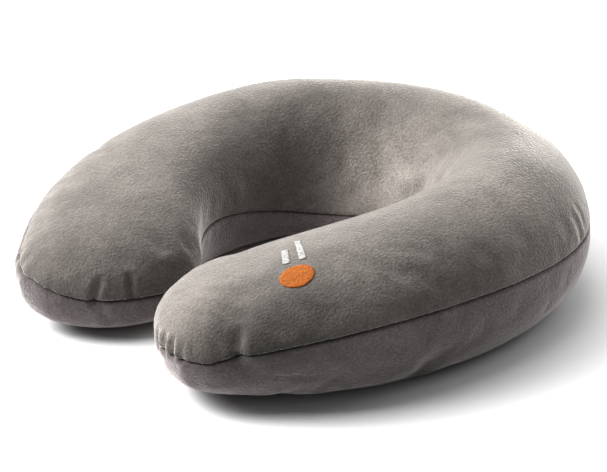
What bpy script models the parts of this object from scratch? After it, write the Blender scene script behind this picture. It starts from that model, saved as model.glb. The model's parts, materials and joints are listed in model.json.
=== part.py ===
"""Camp pillow: a U-shaped neck pillow, a zipped plush cover over a lined foam core.

Metres, +Z up. The pillow lies on Z = 0 with the opening of the U towards -Y, and it is the same
on both sides of X = 0. The cover's seam runs all the way round the U, and its zip is at the back.
"""

from collections import namedtuple
from math import asin, cos, hypot, pi, radians, sin, sqrt

import bmesh
import bpy
from mathutils import Vector

# The mid-line of each half: an arc round the neck, then a flatter arc to the tip.
BACK_RADIUS = 0.104
BACK_SWEEP = radians(81)
ARM_RADIUS = 0.150
TIP_REACH = 0.037  # from the end of the mid-line to the end of the tip
THROAT_WIDTH = 0.0162  # clear gap between the two tips

# Sizes of the section at the back, half way along the arm and at the tip.
HALF_WIDTH = (0.046, 0.0465, 0.0535)
CROWN_RISE = (0.046, 0.036, 0.027)  # crown above the outer seam
SEAM_HEIGHT = (0.043, 0.047, 0.032)  # outer seam above the ground
NECK_SEAM_HEIGHT = (0.018, 0.031, SEAM_HEIGHT[2])  # neck seam above the ground
BELLY_PRESS = 0.003  # how far the belly is pressed flat where it rests

# How full each wall of the section is: 2 is an ellipse, more is squarer.
OUTER_FULLNESS = 1.8
NECK_FULLNESS = 2.8
BELLY_FULLNESS = 2.35

# Cloth and clearances.
COVER_THICKNESS = 0.0018
LINER_THICKNESS = 0.0008
CLEARANCE = 0.0003  # between two pieces that touch
LAYER_GAP = 0.0004  # between two layers of cloth or foam
SEAM_ALLOWANCE = 0.005  # cloth turned in along the seam

# Zip: the slot between the two panels, the tapes, and the coils on their edges.
ZIP_HALF_ANGLE = radians(36)
ZIP_FACETS = 14
SLOT_TAPER = radians(1.5)
SLOT_HALF_HEIGHT = 0.0046
SLOT_TURN_IN = 0.0028  # cloth turned in along the slot
TAPE_THICKNESS = 0.0006
TAPE_HALF_GAP = 0.001  # half of the gap between the two tapes
TAPE_BEND_HEIGHT = 0.0055
TAPE_REACH = 0.0125  # from the middle of the zip to a tape's far edge
TAPE_TURN_IN = 0.0024  # how far the far edge turns in behind the cover
COIL_HEIGHT = 0.0018
COIL_DEPTH = 0.0016
COIL_END_MARGIN = 0.005  # bare tape past the end of a coil
STOP_LENGTH = 0.0018
STOP_WALL = 0.0007

# Slider and pull.
SLIDER_LENGTH = 0.009
SLIDER_WIDTH = 0.008
SLIDER_TAIL_WIDTH = 0.0064
PLATE_THICKNESS = 0.001
INNER_PLATE_GAP = 0.00045
FLANGE_WALL = 0.0008
POST_LENGTH = 0.0018
BAIL_WIRE = 0.0009
BAIL_LENGTH = 0.0057
PULL_BAR = 0.001  # width and thickness of the bar under the bail
PULL_RING_LENGTH = 0.0047
PULL_RING_WIDTH = 0.0042
PULL_LENGTH = 0.024
PULL_WIDTH = 0.005

# Printed mark on the top panel of the +X arm: a disc, and two bars across the crown beside it.
FILM_THICKNESS = 0.0003
PRINT_DISC_RADIUS = 0.008
PRINT_DISC_ALONG = 0.036  # back from the end of the mid-line
PRINT_DISC_OUT = 0.021  # out from the crown
PRINT_BAR_WIDTH = 0.0036
PRINT_BAR_LENGTHS = (0.024, 0.016)
PRINT_BAR_GAP = 0.0045  # between the two bars, and from them to the disc

# How finely the curved pieces are divided.
BACK_STEPS = 4
ARM_STEPS = 6
TIP_STEPS = 8
WALL_STEPS = 5
MERGE = 1e-6


def throat_at(sweep):
    """Gap between the tips if the arms sweep this far."""
    turn = BACK_SWEEP + sweep
    middle = (BACK_RADIUS - ARM_RADIUS) * sin(BACK_SWEEP) + ARM_RADIUS * sin(turn)
    inward = hypot(HALF_WIDTH[2] * sin(turn), TIP_REACH * cos(turn))
    return 2 * (middle - inward)


def arm_sweep():
    """How far the arms sweep, found by halving, so that the tips stand the throat's width apart."""
    low, high = 0.0, pi - BACK_SWEEP
    for _ in range(40):
        middle = (low + high) / 2
        if throat_at(middle) > THROAT_WIDTH:
            low = middle
        else:
            high = middle
    return low


BACK_LENGTH = BACK_RADIUS * BACK_SWEEP
MID_LENGTH = BACK_LENGTH + ARM_RADIUS * arm_sweep()
EVEN_LENGTH = BACK_RADIUS * (ZIP_HALF_ANGLE + SLOT_TAPER)  # the section is the same this far
ZIP_SEAM = SEAM_HEIGHT[0]

Frame = namedtuple("Frame", "base out width rise seam fullness slotted")


def clear_scene():
    for obj in list(bpy.data.objects):
        bpy.data.objects.remove(obj, do_unlink=True)


def new_collection(name):
    collection = bpy.data.collections.new(name)
    bpy.context.scene.collection.children.link(collection)
    return collection


def new_material(name, colour, roughness, metallic=0.0):
    material = bpy.data.materials.new(name)
    material.use_nodes = True
    shader = material.node_tree.nodes["Principled BSDF"]
    shader.inputs["Base Color"].default_value = (*colour, 1.0)
    shader.inputs["Roughness"].default_value = roughness
    shader.inputs["Metallic"].default_value = metallic
    return material


def new_object(name, bm, material, collection):
    """Object made of this bmesh, with its faces turned out and its round parts shaded smooth."""
    bmesh.ops.recalc_face_normals(bm, faces=bm.faces)
    mesh = bpy.data.meshes.new(name)
    bm.to_mesh(mesh)
    bm.free()
    mesh.shade_smooth()
    mesh.set_sharp_from_angle(angle=radians(40))
    obj = bpy.data.objects.new(name, mesh)
    if material:
        obj.data.materials.append(material)
    collection.objects.link(obj)
    return obj


# The outline of the pillow


def mid_line(distance):
    """Point of the right half's mid-line and the direction away from the neck, this far from the back."""
    if distance <= BACK_LENGTH:
        turn = distance / BACK_RADIUS
        out = Vector((sin(turn), cos(turn)))
        return out * BACK_RADIUS, out
    turn = BACK_SWEEP + (distance - BACK_LENGTH) / ARM_RADIUS
    out = Vector((sin(turn), cos(turn)))
    centre = Vector((sin(BACK_SWEEP), cos(BACK_SWEEP))) * (BACK_RADIUS - ARM_RADIUS)
    return centre + out * ARM_RADIUS, out


def eased(values, distance):
    """A size that is even along the zip, then passes its middle value and reaches its tip value."""
    start, middle, tip = values
    t = max(0.0, (distance - EVEN_LENGTH) / (MID_LENGTH - EVEN_LENGTH))
    square = 8 * (middle - start) - (tip - start)
    cube = 2 * (tip - start) - 8 * (middle - start)
    return start + square * t**2 + cube * t**3


def distances():
    """Where the sections stand along the mid-line of one half."""
    half = ZIP_FACETS // 2
    marks = [BACK_RADIUS * ZIP_HALF_ANGLE * i / half for i in range(half + 1)]
    marks.append(EVEN_LENGTH)
    for i in range(1, BACK_STEPS + 1):
        marks.append(EVEN_LENGTH + (BACK_LENGTH - EVEN_LENGTH) * i / BACK_STEPS)
    for i in range(1, ARM_STEPS + 1):
        marks.append(BACK_LENGTH + (MID_LENGTH - BACK_LENGTH) * i / ARM_STEPS)
    return marks


def wall_frame(distance, side):
    """Section on the outer side (side 1) or on the neck side (side -1) of the right half."""
    base, out = mid_line(distance)
    on_zip = distance <= BACK_RADIUS * ZIP_HALF_ANGLE + MERGE
    crown = eased(SEAM_HEIGHT, distance) + eased(CROWN_RISE, distance)
    seam = eased(SEAM_HEIGHT if side > 0 else NECK_SEAM_HEIGHT, distance)
    return Frame(
        base,
        out * side,
        eased(HALF_WIDTH, distance),
        crown - seam,
        seam,
        OUTER_FULLNESS if side > 0 else NECK_FULLNESS,
        side > 0 and on_zip,
    )


def tip_frame(turn):
    """Section of the rounded tip, whose outline is half an ellipse that starts on the outer side."""
    base, out = mid_line(MID_LENGTH)
    onward = Vector((out.y, -out.x))
    reach = out * HALF_WIDTH[2] * cos(turn) + onward * TIP_REACH * sin(turn)
    share = turn / pi
    fullness = OUTER_FULLNESS * (1 - share) + NECK_FULLNESS * share
    return Frame(base, reach.normalized(), reach.length, CROWN_RISE[2], SEAM_HEIGHT[2], fullness, False)


def mirrored(frame):
    flip = Vector((-1, 1))
    return frame._replace(base=frame.base * flip, out=frame.out * flip)


def all_frames():
    """Sections round the whole U: out along the right side, back along the neck, and the same on the left."""
    marks = distances()
    right = [wall_frame(mark, 1) for mark in marks]
    right += [tip_frame(pi * i / TIP_STEPS) for i in range(1, TIP_STEPS)]
    right += [wall_frame(mark, -1) for mark in reversed(marks)]
    return right + [mirrored(frame) for frame in reversed(right[1:-1])]


FRAMES = all_frames()
EDGE_Y = [(frame.base + frame.out * frame.width).y for frame in FRAMES]
CENTRE_Y = -(max(EDGE_Y) + min(EDGE_Y)) / 2  # puts the origin in the middle of the pillow
RING_CENTRE = Vector((0, CENTRE_Y, ZIP_SEAM))
WALL_RADIUS = BACK_RADIUS + HALF_WIDTH[0]

# The zip's layers, by their distance from the ring centre
TAPE_OUTER = WALL_RADIUS - SLOT_TURN_IN - CLEARANCE
TAPE_INNER = TAPE_OUTER - TAPE_THICKNESS
COIL_INNER = TAPE_OUTER + CLEARANCE
COIL_OUTER = COIL_INNER + COIL_DEPTH
COIL_EDGE = TAPE_HALF_GAP + COIL_HEIGHT
COIL_HALF_ANGLE = ZIP_HALF_ANGLE - COIL_END_MARGIN / WALL_RADIUS
STOP_ANGLE = COIL_HALF_ANGLE + (CLEARANCE + STOP_LENGTH / 2) / WALL_RADIUS
OUTER_PLATE_LOW = COIL_OUTER + CLEARANCE
OUTER_PLATE_HIGH = OUTER_PLATE_LOW + PLATE_THICKNESS
INNER_PLATE_HIGH = TAPE_INNER - INNER_PLATE_GAP
BAR_CLEARANCE = PULL_BAR / sqrt(2) + CLEARANCE * 2 / 3
BAR_RADIUS = OUTER_PLATE_HIGH + BAR_CLEARANCE
BAIL_INNER_TOP = BAR_RADIUS + BAR_CLEARANCE
SLIDER_ANGLE = -(COIL_HALF_ANGLE - (SLIDER_LENGTH / 2 + CLEARANCE) / WALL_RADIUS)


# The soft layers, lofted round the frames


def quarter(width, height, fullness, start):
    """Points (out, up) of a quarter of a superellipse, from this height above the seam to the crown."""
    first = asin((start / height) ** (fullness / 2))
    points = []
    for i in range(WALL_STEPS + 1):
        turn = first + (pi / 2 - first) * i / WALL_STEPS
        across = max(0.0, cos(turn)) ** (2 / fullness) if i < WALL_STEPS else 0.0
        points.append((width * across, height * sin(turn) ** (2 / fullness)))
    return points


def depth(frame):
    return frame.seam + BELLY_PRESS


def upward(frame, points):
    return [(out, frame.seam + up) for out, up in points]


def downward(frame, points, ground):
    return [(out, max(frame.seam - down, ground)) for out, down in points]


def shell_section(frame, height, fullness, inset, rise_inset, wall, lip, lift):
    """Half of a cloth panel's section: outer wall, the edge turned in by lip, and inner wall."""
    width = frame.width - inset
    outer = quarter(width, height - rise_inset, fullness, lift)
    inner = quarter(width - wall, height - rise_inset - wall, fullness, lift + (wall if lip else 0))
    turned_in = [(width - lip, lift), (width - lip, lift + wall)] if lip else []
    return outer[::-1] + turned_in + inner


def cover_edge(frame):
    """How deep the cover's edge is turned in, and how far it stands from the seam."""
    if frame.slotted:
        return SLOT_TURN_IN, SLOT_HALF_HEIGHT
    return SEAM_ALLOWANCE, CLEARANCE / 2


def cover_top_section(frame):
    points = shell_section(frame, frame.rise, frame.fullness, 0, 0, COVER_THICKNESS, *cover_edge(frame))
    return upward(frame, points)


def grounded(frame, points, outer_ground, wall):
    """A lower panel's points, its outer wall on one level and its inner wall one wall higher."""
    outer_count = WALL_STEPS + 1
    outer = downward(frame, points[:outer_count], outer_ground)
    return outer + downward(frame, points[outer_count:], outer_ground + wall)


def cover_bottom_section(frame):
    wall = COVER_THICKNESS
    points = shell_section(frame, depth(frame), BELLY_FULLNESS, 0, 0, wall, *cover_edge(frame))
    return grounded(frame, points, 0, wall)


ZIP_DEPTH = WALL_RADIUS - INNER_PLATE_HIGH + PLATE_THICKNESS
LINER_INSET = max(SEAM_ALLOWANCE, ZIP_DEPTH) + LAYER_GAP
LINER_GROUND = COVER_THICKNESS + LAYER_GAP


def liner_top_section(frame):
    wall = LINER_THICKNESS
    points = shell_section(
        frame, frame.rise, frame.fullness, LINER_INSET, LINER_GROUND, wall, 0, CLEARANCE / 2
    )
    return upward(frame, points)


def liner_bottom_section(frame):
    wall = LINER_THICKNESS
    points = shell_section(
        frame, depth(frame), BELLY_FULLNESS, LINER_INSET, LINER_GROUND, wall, 0, CLEARANCE / 2
    )
    return grounded(frame, points, LINER_GROUND, wall)


def core_section(frame):
    within = LINER_THICKNESS + LAYER_GAP
    width = frame.width - LINER_INSET - within
    ground = LINER_GROUND + within
    above = quarter(width, frame.rise - ground, frame.fullness, 0)
    below = quarter(width, depth(frame) - ground, BELLY_FULLNESS, 0)
    return upward(frame, above[::-1]) + downward(frame, below[1:], ground)


def add_quad(bm, a, b, c, d):
    """Two triangles whose shared edge falls the same way on every wall, so that nested walls lie parallel."""
    falls = a.co.z >= b.co.z
    for corners in ((a, b, c), (a, c, d)) if falls else ((a, b, d), (b, c, d)):
        bm.faces.new(corners)


def loft(section):
    """Skin through the section of every frame. The two sides meet along the crown and the belly."""
    bm = bmesh.new()
    rows = []
    for frame in FRAMES:
        row = []
        for out, height in section(frame):
            place = frame.base + frame.out * out
            row.append(bm.verts.new((place.x, place.y + CENTRE_Y, height)))
        rows.append(row)
    for row, following in zip(rows, rows[1:] + rows[:1]):
        for a, b, c, d in zip(row, row[1:], following[1:], following):
            add_quad(bm, a, b, c, d)
    bmesh.ops.remove_doubles(bm, verts=bm.verts, dist=MERGE)
    return bm


def build_soft_pieces(collection):
    plush_top = new_material("plush_upper", (0.24, 0.22, 0.205), 0.95)
    plush_bottom = new_material("plush_lower", (0.20, 0.18, 0.175), 0.95)
    knit = new_material("knit", (0.80, 0.79, 0.76), 0.9)
    foam = new_material("foam", (0.86, 0.80, 0.60), 0.9)
    new_object("cover_top_panel", loft(cover_top_section), plush_top, collection)
    new_object("cover_bottom_panel", loft(cover_bottom_section), plush_bottom, collection)
    new_object("liner_top_panel", loft(liner_top_section), knit, collection)
    new_object("liner_bottom_panel", loft(liner_bottom_section), knit.copy(), collection)
    new_object("foam_core", loft(core_section), foam, collection)


# The zip, turned round the centre of the back


def ring_band(outline, half_angle, flip):
    """Solid of this outline of (radius, height above the seam), turned round the ring centre."""
    bm = bmesh.new()
    corners = []
    for radius, height in outline:
        corners.append(bm.verts.new((-radius * sin(half_angle), radius * cos(half_angle), height * flip)))
    face = bm.faces.new(corners)
    bmesh.ops.spin(
        bm,
        geom=[face, *face.edges, *face.verts],
        cent=(0, 0, 0),
        axis=(0, 0, -1),
        angle=2 * half_angle,
        steps=ZIP_FACETS,
    )
    return bm


def tape_outline():
    far = TAPE_OUTER - TAPE_TURN_IN
    return [
        (TAPE_OUTER, TAPE_HALF_GAP),
        (TAPE_OUTER, TAPE_BEND_HEIGHT),
        (far, TAPE_REACH),
        (far - TAPE_THICKNESS, TAPE_REACH),
        (TAPE_INNER, TAPE_BEND_HEIGHT),
        (TAPE_INNER, TAPE_HALF_GAP),
    ]


def coil_outline():
    chamfer = COIL_HEIGHT / 4
    return [
        (COIL_INNER, TAPE_HALF_GAP),
        (COIL_OUTER - chamfer, TAPE_HALF_GAP),
        (COIL_OUTER, TAPE_HALF_GAP + chamfer),
        (COIL_OUTER, COIL_EDGE - chamfer),
        (COIL_OUTER - chamfer, COIL_EDGE),
        (COIL_INNER, COIL_EDGE),
    ]


def prism(outline, axis, low, high):
    """Solid of an outline, its corners given in the two other axes, from low to high along this axis."""
    bm = bmesh.new()
    order = {"x": (2, 0, 1), "y": (0, 2, 1), "z": (0, 1, 2)}[axis]
    corners = []
    for first, second in outline:
        values = (first, second, low)
        corners.append(bm.verts.new([values[i] for i in order]))
    face = bm.faces.new(corners)
    grown = bmesh.ops.extrude_face_region(bm, geom=[face])
    moved = [item for item in grown["geom"] if isinstance(item, bmesh.types.BMVert)]
    shift = Vector((0, 0, 0))
    shift["xyz".index(axis)] = high - low
    bmesh.ops.translate(bm, verts=moved, vec=shift)
    return bm


def set_on_ring(obj, angle):
    """Puts a piece, drawn about the ring centre with +Y pointing out, at this angle from the back."""
    obj.location = RING_CENTRE
    obj.rotation_euler = (0, 0, -angle)


def stop_outline(inner_edge, outer_edge):
    """Clamp round the edge of a tape, in (radius, height): open on the side away from the gap."""
    out = COIL_INNER + STOP_WALL
    inside = TAPE_INNER - CLEARANCE
    bore_edge = TAPE_HALF_GAP - CLEARANCE
    return [
        (inside - STOP_WALL, inner_edge),
        (out, inner_edge),
        (out, outer_edge),
        (COIL_INNER, outer_edge),
        (COIL_INNER, bore_edge),
        (inside, bore_edge),
        (inside, outer_edge),
        (inside - STOP_WALL, outer_edge),
    ]


def bottom_stop_outline():
    """Clamp across both tapes: the two open sides face away from each other."""
    half = stop_outline(0, COIL_EDGE)[1:]
    lower = [(radius, -height) for radius, height in reversed(half)]
    return half[1:] + lower[:-1]


def build_zip_tapes(collection):
    cloth = new_material("zip_tape", (0.16, 0.15, 0.145), 0.9)
    nylon = new_material("zip_coil", (0.13, 0.12, 0.12), 0.45)
    metal = new_material("zip_stop", (0.55, 0.55, 0.56), 0.35, 1.0)
    for side, flip in (("upper", 1), ("lower", -1)):
        tape = new_object(
            "zip_tape_" + side, ring_band(tape_outline(), ZIP_HALF_ANGLE, flip), cloth.copy(), collection
        )
        coil = new_object(
            "zip_coil_" + side, ring_band(coil_outline(), COIL_HALF_ANGLE, flip), nylon.copy(), collection
        )
        tape.location = RING_CENTRE
        coil.location = RING_CENTRE
        outline = [(radius, height * flip) for radius, height in stop_outline(CLEARANCE / 2, COIL_EDGE)]
        stop = new_object(
            "zip_top_stop_" + side,
            prism(outline, "x", -STOP_LENGTH / 2, STOP_LENGTH / 2),
            metal.copy(),
            collection,
        )
        set_on_ring(stop, -STOP_ANGLE)
    bottom = new_object(
        "zip_bottom_stop",
        prism(bottom_stop_outline(), "x", -STOP_LENGTH / 2, STOP_LENGTH / 2),
        metal,
        collection,
    )
    set_on_ring(bottom, STOP_ANGLE)


# Slider and pull: drawn with +X along the zip away from the top stops, +Y out and +Z up


def plate_outline():
    """(along, up): wide at the end where the tapes part, narrower at the tail."""
    front = -SLIDER_LENGTH / 2
    tail = SLIDER_LENGTH / 2
    wide = SLIDER_WIDTH / 2
    narrow = SLIDER_TAIL_WIDTH / 2
    cut = SLIDER_WIDTH / 8
    half = [(front, wide - cut), (front + cut, wide), (0, wide), (tail - cut, narrow), (tail, narrow - cut)]
    return half + [(along, -up) for along, up in reversed(half)]


def bail_outline():
    """(along, out): a strap over the bar, its feet sunk into the outer plate."""
    outer = BAIL_LENGTH / 2
    inner = outer - BAIL_WIRE
    top = BAIL_INNER_TOP + BAIL_WIRE
    foot = OUTER_PLATE_HIGH - PLATE_THICKNESS / 2
    cut = BAIL_WIRE
    right = [
        (outer, foot),
        (outer, top - cut),
        (outer - cut, top),
    ]
    left = [(-along, out) for along, out in reversed(right)]
    return right + left + [(-inner, foot), (-inner, BAIL_INNER_TOP), (inner, BAIL_INNER_TOP), (inner, foot)]


def box(low, high):
    bm = bmesh.new()
    bmesh.ops.create_cube(bm, size=1)
    size = Vector(high) - Vector(low)
    bmesh.ops.scale(bm, verts=bm.verts, vec=size)
    bmesh.ops.translate(bm, verts=bm.verts, vec=(Vector(high) + Vector(low)) / 2)
    return bm


def combine(obj, name, bm, operation, cutters):
    """Joins a helper solid to the object, or cuts it away. The helper stays in the cutters' collection."""
    helper = new_object(name, bm, None, cutters)
    helper.location = obj.location
    helper.rotation_euler = obj.rotation_euler
    helper.hide_render = True
    helper.display_type = "WIRE"
    modifier = obj.modifiers.new(name, "BOOLEAN")
    modifier.operation = operation
    modifier.object = helper


def build_slider(collection, cutters):
    metal = new_material("zip_slider", (0.42, 0.42, 0.43), 0.3, 1.0)
    slider = new_object(
        "zip_slider", prism(plate_outline(), "y", OUTER_PLATE_LOW, OUTER_PLATE_HIGH), metal, collection
    )
    set_on_ring(slider, SLIDER_ANGLE)
    front = -SLIDER_LENGTH / 2
    sunk = PLATE_THICKNESS / 2
    inner_plate = prism(plate_outline(), "y", INNER_PLATE_HIGH - PLATE_THICKNESS, INNER_PLATE_HIGH)
    combine(slider, "slider_inner_plate", inner_plate, "UNION", cutters)
    post_half = TAPE_HALF_GAP / 2
    post = box(
        (front + sunk, INNER_PLATE_HIGH - sunk, -post_half),
        (front + sunk + POST_LENGTH, OUTER_PLATE_LOW + sunk, post_half),
    )
    combine(slider, "slider_post", post, "UNION", cutters)
    for flip, side in ((1, "upper"), (-1, "lower")):
        edges = sorted((flip * SLIDER_WIDTH / 2, flip * (SLIDER_WIDTH / 2 - FLANGE_WALL)))
        flange = box(
            (front + 2 * sunk, COIL_INNER, edges[0]),
            (0, OUTER_PLATE_LOW + sunk, edges[1]),
        )
        combine(slider, "slider_flange_" + side, flange, "UNION", cutters)
    bail = prism(bail_outline(), "z", -BAIL_WIRE / 2, BAIL_WIRE / 2)
    combine(slider, "slider_bail", bail, "UNION", cutters)


def pull_outline():
    """(along, up): the ring round the bail, then the tab."""
    back = -PULL_BAR / 2
    ring = PULL_RING_WIDTH / 2
    tab = PULL_WIDTH / 2
    cut = PULL_WIDTH / 4
    half = [
        (back, ring),
        (PULL_RING_LENGTH, ring),
        (PULL_RING_LENGTH + cut, tab),
        (PULL_LENGTH - cut, tab),
        (PULL_LENGTH, tab - cut),
    ]
    return half + [(along, -up) for along, up in reversed(half)]


def build_pull(collection, cutters):
    metal = new_material("zip_pull", (0.42, 0.42, 0.43), 0.3, 1.0)
    half = PULL_BAR / 2
    pull = new_object("zip_pull", prism(pull_outline(), "y", -half, half), metal, collection)
    bar = RING_CENTRE + Vector((sin(SLIDER_ANGLE), cos(SLIDER_ANGLE), 0)) * BAR_RADIUS
    pull.location = bar
    pull.rotation_euler = (0, 0, -SLIDER_ANGLE)
    hole = PULL_RING_WIDTH / 2 - PULL_BAR
    window = box((half, -2 * half, -hole), (PULL_RING_LENGTH - half, 2 * half, hole))
    combine(pull, "pull_window", window, "DIFFERENCE", cutters)


# The printed mark, laid over the crown of the +X arm


def above_panel(along, out):
    """Point a clearance above the top panel, this far back from the mid-line's end and out from the crown."""
    distance = MID_LENGTH - along
    frame = wall_frame(distance, 1 if out >= 0 else -1)
    share = 1 - (abs(out) / frame.width) ** frame.fullness
    height = frame.seam + frame.rise * share ** (1 / frame.fullness)
    place = frame.base + frame.out * abs(out)
    return Vector((place.x, place.y + CENTRE_Y, height + CLEARANCE))


def lay_film(name, bm, along, out, material, collection):
    """Lays a flat sheet, drawn in (along, out), over the panel and gives it the film's thickness."""
    for vert in bm.verts:
        vert.co = above_panel(along + vert.co.x, out + vert.co.y)
    film = new_object(name, bm, material, collection)
    upward_faces = sum(polygon.normal.z for polygon in film.data.polygons) > 0
    if not upward_faces:
        film.data.flip_normals()
    modifier = film.modifiers.new("film", "SOLIDIFY")
    modifier.thickness = FILM_THICKNESS
    modifier.offset = 1


def build_print(collection):
    orange = new_material("print_orange", (0.85, 0.33, 0.02), 0.5)
    white = new_material("print_white", (0.86, 0.86, 0.85), 0.5)
    disc = bmesh.new()
    bmesh.ops.create_circle(disc, cap_ends=True, cap_tris=True, segments=20, radius=PRINT_DISC_RADIUS)
    spokes = [edge for edge in disc.edges if not edge.is_boundary]
    bmesh.ops.subdivide_edges(disc, edges=spokes, cuts=2, use_grid_fill=True)
    lay_film("print_disc", disc, PRINT_DISC_ALONG, PRINT_DISC_OUT, orange, collection)
    bars_end = PRINT_DISC_OUT - PRINT_DISC_RADIUS - PRINT_BAR_GAP
    step = (PRINT_BAR_GAP + PRINT_BAR_WIDTH) / 2
    rows = (PRINT_DISC_ALONG + step, PRINT_DISC_ALONG - step)
    for name, length, row in zip(("print_bar_long", "print_bar_short"), PRINT_BAR_LENGTHS, rows):
        bar = bmesh.new()
        bmesh.ops.create_grid(bar, x_segments=2, y_segments=8, size=0.5)
        bmesh.ops.scale(bar, verts=bar.verts, vec=(PRINT_BAR_WIDTH, length, 1))
        lay_film(name, bar, row, bars_end - length / 2, white.copy(), collection)


def main():
    clear_scene()
    pillow = new_collection("camp_pillow")
    cutters = new_collection("cutters")
    build_soft_pieces(pillow)
    build_zip_tapes(pillow)
    build_slider(pillow, cutters)
    build_pull(pillow, cutters)
    build_print(pillow)


main()
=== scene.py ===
# %% [markdown]
# # A camp pillow, piece by piece
# This is a U-shaped neck pillow: a foam core in a knitted liner, inside a zipped velour cover.
# The measured model is loaded first and stays as it is. Everything below is built round it in
# metres, with the opening of the U towards -Y and the zip at the back, on +Y.

# %% Load the measured model
import json
from collections import namedtuple
from math import cos, pi, radians, sin

import bmesh
import bpy
import numpy as np
from mathutils import Matrix, Vector, noise
from mathutils.bvhtree import BVHTree

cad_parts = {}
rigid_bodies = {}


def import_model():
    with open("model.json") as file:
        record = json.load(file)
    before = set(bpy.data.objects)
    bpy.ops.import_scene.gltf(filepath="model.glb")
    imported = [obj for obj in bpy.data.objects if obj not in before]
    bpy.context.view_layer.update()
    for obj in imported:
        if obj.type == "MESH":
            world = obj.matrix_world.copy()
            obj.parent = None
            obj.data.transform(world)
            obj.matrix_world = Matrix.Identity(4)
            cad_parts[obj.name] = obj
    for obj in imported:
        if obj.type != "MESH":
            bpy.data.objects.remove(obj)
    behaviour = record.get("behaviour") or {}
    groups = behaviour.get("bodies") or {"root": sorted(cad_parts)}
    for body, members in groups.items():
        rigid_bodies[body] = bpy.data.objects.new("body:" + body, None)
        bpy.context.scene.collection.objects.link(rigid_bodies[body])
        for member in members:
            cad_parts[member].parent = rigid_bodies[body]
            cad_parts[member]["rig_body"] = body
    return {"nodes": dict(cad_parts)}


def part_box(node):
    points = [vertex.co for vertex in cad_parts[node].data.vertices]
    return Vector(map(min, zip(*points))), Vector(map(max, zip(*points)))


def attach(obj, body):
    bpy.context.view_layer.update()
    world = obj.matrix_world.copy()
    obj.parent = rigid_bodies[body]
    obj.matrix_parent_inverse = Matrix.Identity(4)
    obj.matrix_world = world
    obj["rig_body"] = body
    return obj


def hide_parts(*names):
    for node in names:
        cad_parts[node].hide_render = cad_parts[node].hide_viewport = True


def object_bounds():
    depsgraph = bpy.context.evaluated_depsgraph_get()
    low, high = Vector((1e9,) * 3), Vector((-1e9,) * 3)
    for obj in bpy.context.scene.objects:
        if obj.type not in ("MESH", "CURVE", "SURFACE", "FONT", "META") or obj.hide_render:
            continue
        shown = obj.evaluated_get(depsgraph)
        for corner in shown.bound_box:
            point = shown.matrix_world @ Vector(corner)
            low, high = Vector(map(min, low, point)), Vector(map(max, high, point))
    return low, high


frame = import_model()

CAD_BOX = [list(corner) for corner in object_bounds()]
CAD_MIDDLE = (Vector(CAD_BOX[0]) + Vector(CAD_BOX[1])) / 2
nodes = frame["nodes"]
print("pieces of the measured model:", len(nodes))
print("box in mm:", [round(1000 * (b - a), 1) for a, b in zip(*CAD_BOX)])

# %% [markdown]
# ## Camera
# A long lens from over a metre away keeps the two arms nearly the same size. The camera stands in
# front of the right arm and looks down on it, so the U reads clearly. It is placed by its angle
# round the pillow, its height above the horizon and its distance, which are easy to think about.

# %% Camera
AZIMUTH = radians(48.86)
ELEVATION = radians(22.51)
ROLL = radians(-1.25)
DISTANCE = 1.2256
LENS_MM = 128.9
AIM = Vector((0.0125, -0.0220, -0.0031))  # from the middle of the measured box

towards_eye = Vector((sin(AZIMUTH) * cos(ELEVATION), -cos(AZIMUTH) * cos(ELEVATION), sin(ELEVATION)))
level_right = Vector((cos(AZIMUTH), sin(AZIMUTH), 0))
level_up = towards_eye.cross(level_right)
eye_right = level_right * cos(ROLL) + level_up * sin(ROLL)
eye_up = level_up * cos(ROLL) - level_right * sin(ROLL)
camera_data = bpy.data.cameras.new("studio_camera")
camera_data.lens = LENS_MM
camera_data.sensor_width = 36
camera = bpy.data.objects.new("studio_camera", camera_data)
bpy.context.scene.collection.objects.link(camera)
turned = Matrix((eye_right, eye_up, towards_eye)).transposed().to_4x4()
camera.matrix_world = Matrix.Translation(CAD_MIDDLE + AIM + towards_eye * DISTANCE) @ turned
bpy.context.scene.camera = camera
print("camera stands at", [round(value, 3) for value in camera.matrix_world.translation])

# %% [markdown]
# ## Floor and light
# Velour shows its shape by sheen: its rims glow where light comes from behind, and the side that
# faces the eye stays dark. So the big soft lights stand behind, above and at both sides of the
# pillow, and none stands in front. The floor is pale, to bounce light under the belly.

# %% Floor and light
FLOOR_DROP = 0.0004
FLOOR_HALF_SIZE = 4
WORLD_STRENGTH = 0.18
LIGHTS = (  # name, angle round the pillow from the eye, height, distance, size, watts
    ("behind", 170, 45, 1.5, 1.5, 14),
    ("above", -150, 78, 1.4, 1.0, 18),
    ("left_behind", -112, 32, 1.3, 0.9, 48),
    ("left", -90, 46, 1.3, 0.8, 26),
    ("right", 112, 34, 1.4, 1.0, 10),
)


def new_object(name, mesh):
    obj = bpy.data.objects.new(name, mesh)
    bpy.context.scene.collection.objects.link(obj)
    return obj


def mesh_of(name, bm):
    mesh = bpy.data.meshes.new(name)
    bm.to_mesh(mesh)
    bm.free()
    return mesh


floor_bm = bmesh.new()
bmesh.ops.create_grid(floor_bm, x_segments=8, y_segments=8, size=FLOOR_HALF_SIZE)
bmesh.ops.translate(floor_bm, verts=floor_bm.verts, vec=(0, 0, -FLOOR_DROP))
floor = new_object("studio_floor", mesh_of("studio_floor", floor_bm))

for name, angle, height, distance, size, watts in LIGHTS:
    lamp = bpy.data.lights.new("light_" + name, "AREA")
    lamp.size = size
    lamp.energy = watts
    round_it = AZIMUTH + radians(angle)
    up = radians(height)
    place = Vector((sin(round_it) * cos(up), -cos(round_it) * cos(up), sin(up))) * distance
    lamp_object = bpy.data.objects.new("light_" + name, lamp)
    lamp_object.location = CAD_MIDDLE + place
    lamp_object.rotation_euler = place.to_track_quat("Z", "Y").to_euler()
    bpy.context.scene.collection.objects.link(lamp_object)

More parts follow.
